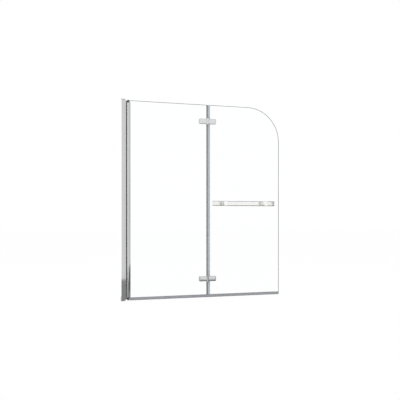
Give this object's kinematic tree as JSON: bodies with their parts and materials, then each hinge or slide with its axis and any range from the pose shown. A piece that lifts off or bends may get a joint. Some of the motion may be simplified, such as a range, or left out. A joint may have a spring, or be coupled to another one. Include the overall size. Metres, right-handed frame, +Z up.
{
  "type": "folding bath screen",
  "caption": "Frameless folding bath screen: wall channel, pivoting post, two clear panes on glass hinges, seals and a flat towel rail.",
  "frame": {"origin": "foot of the wall face, on the mid plane of the glass, at bath rim level", "axes": "+X leaves the wall along the screen, +Y points to the towel rail's side of the glass, +Z is up"},
  "size_m": [1.2, 0.071, 1.4],
  "materials": {
    "clear_glass": "clear toughened glass with polished green edges",
    "bright_aluminium": "bright polished aluminium extrusion",
    "chrome": "polished chrome plate",
    "dark_zinc": "dark satin cast zinc",
    "stainless": "stainless steel",
    "grey_seal": "grey satin flexible PVC",
    "clear_seal": "translucent flexible PVC",
    "black_rubber": "matt black EPDM",
    "white_nylon": "turned nylon",
    "grey_plastic": "moulded satin plastic"
  },
  "bodies": {
    "wall_frame": {"wall_channel": "bright_aluminium", "wall_channel_cap": "grey_plastic", "lock_screws": "stainless", "lock_screw_caps": "chrome"},
    "slide_frame": {"adjusting_profile": "bright_aluminium", "top_pivot_block": "dark_zinc", "bottom_pivot_block": "dark_zinc", "top_pivot_pin": "stainless", "bottom_pivot_pin": "stainless", "pivot_block_screws": "stainless", "post_seal": "black_rubber"},
    "inner_leaf": {"pivot_post": "bright_aluminium", "post_end_caps": "dark_zinc", "top_post_bush": "white_nylon", "bottom_post_bush": "white_nylon", "glazing_gasket": "grey_seal", "inner_glass": "clear_glass", "inner_bottom_seal": "grey_seal", "upper_inner_hinge_plate": "chrome", "upper_inner_clamp_plate": "chrome", "upper_inner_hinge_pads": "black_rubber", "upper_inner_clamp_screws": "stainless", "upper_hinge_pin": "chrome", "lower_inner_hinge_plate": "chrome", "lower_inner_clamp_plate": "chrome", "lower_inner_hinge_pads": "black_rubber", "lower_inner_clamp_screws": "stainless", "lower_hinge_pin": "chrome"},
    "outer_leaf": {"outer_glass": "clear_glass", "outer_bottom_seal": "grey_seal", "joint_seal": "clear_seal", "upper_outer_hinge_plate": "chrome", "upper_outer_clamp_plate": "chrome", "upper_outer_hinge_pads": "black_rubber", "upper_outer_clamp_screws": "stainless", "upper_hinge_bush": "white_nylon", "lower_outer_hinge_plate": "chrome", "lower_outer_clamp_plate": "chrome", "lower_outer_hinge_pads": "black_rubber", "lower_outer_clamp_screws": "stainless", "lower_hinge_bush": "white_nylon", "towel_rail": "chrome", "rail_end_caps": "chrome", "rail_inserts": "stainless", "rail_stems": "chrome", "rail_rosettes": "chrome", "rail_washers": "clear_seal", "rail_cap_holders": "stainless", "rail_screws": "stainless", "rail_cover_caps": "chrome"}
  },
  "joints": [
    {"name": "wall_adjust", "type": "slide", "parent": "wall_frame", "child": "slide_frame", "axis": [1, 0, 0], "range_m": [0, 0.015]},
    {"name": "wall_pivot", "type": "hinge", "parent": "slide_frame", "child": "inner_leaf", "pos_m": [0.051, 0, 0], "axis": [0, 0, 1], "range_deg": [-90, 90]},
    {"name": "fold", "type": "hinge", "parent": "inner_leaf", "child": "outer_leaf", "pos_m": [0.6335, -0.0125, 0], "axis": [0, 0, -1], "range_deg": [0, 180]}
  ]
}
